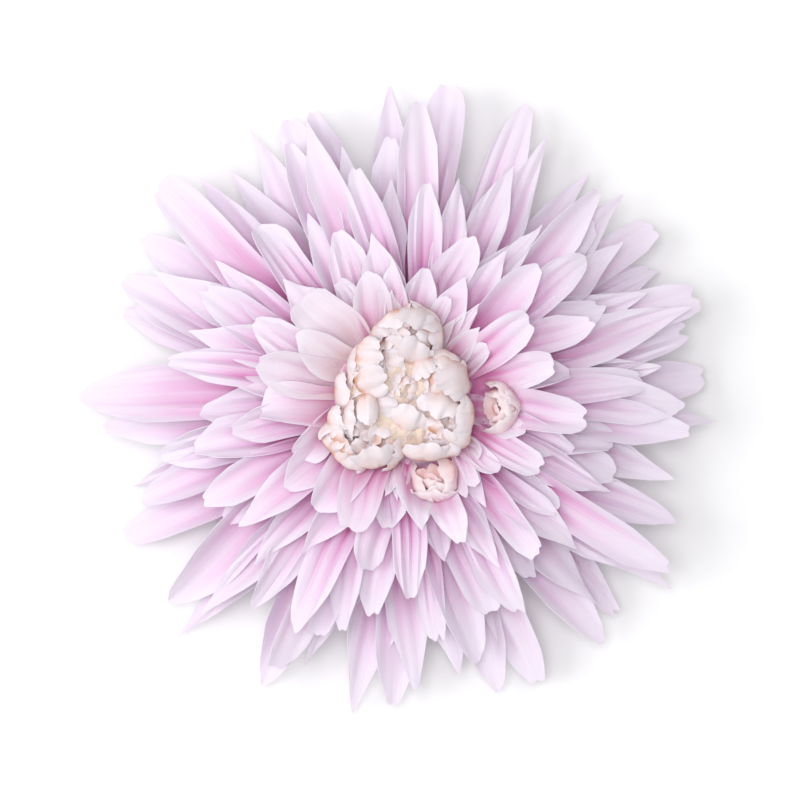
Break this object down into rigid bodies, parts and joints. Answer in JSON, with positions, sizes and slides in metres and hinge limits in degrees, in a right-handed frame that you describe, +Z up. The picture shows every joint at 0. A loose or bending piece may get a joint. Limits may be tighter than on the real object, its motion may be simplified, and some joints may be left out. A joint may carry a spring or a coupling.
{
  "type": "chrysanthemum flower",
  "caption": "Full round chrysanthemum bloom without its stem, lying face up: long pale pink petals in overlapping whorls round a cream tufted centre, over a small green calyx.",
  "frame": {"origin": "centre of the flat cut under the calyx, where the stalk was snipped off", "axes": "+Z up along the bloom's axis, from the cut to the centre of the face; +X to the right and +Y to the top of the bloom as the picture shows it from above"},
  "size_m": [0.1039, 0.1045, 0.0273],
  "materials": {
    "petal_pink": "matte",
    "floret_cream": "matte",
    "calyx_green": "matte"
  },
  "bodies": {
    "root": {"ray_petals": "petal_pink", "centre_florets": "floret_cream", "calyx": "calyx_green"}
  },
  "joints": []
}
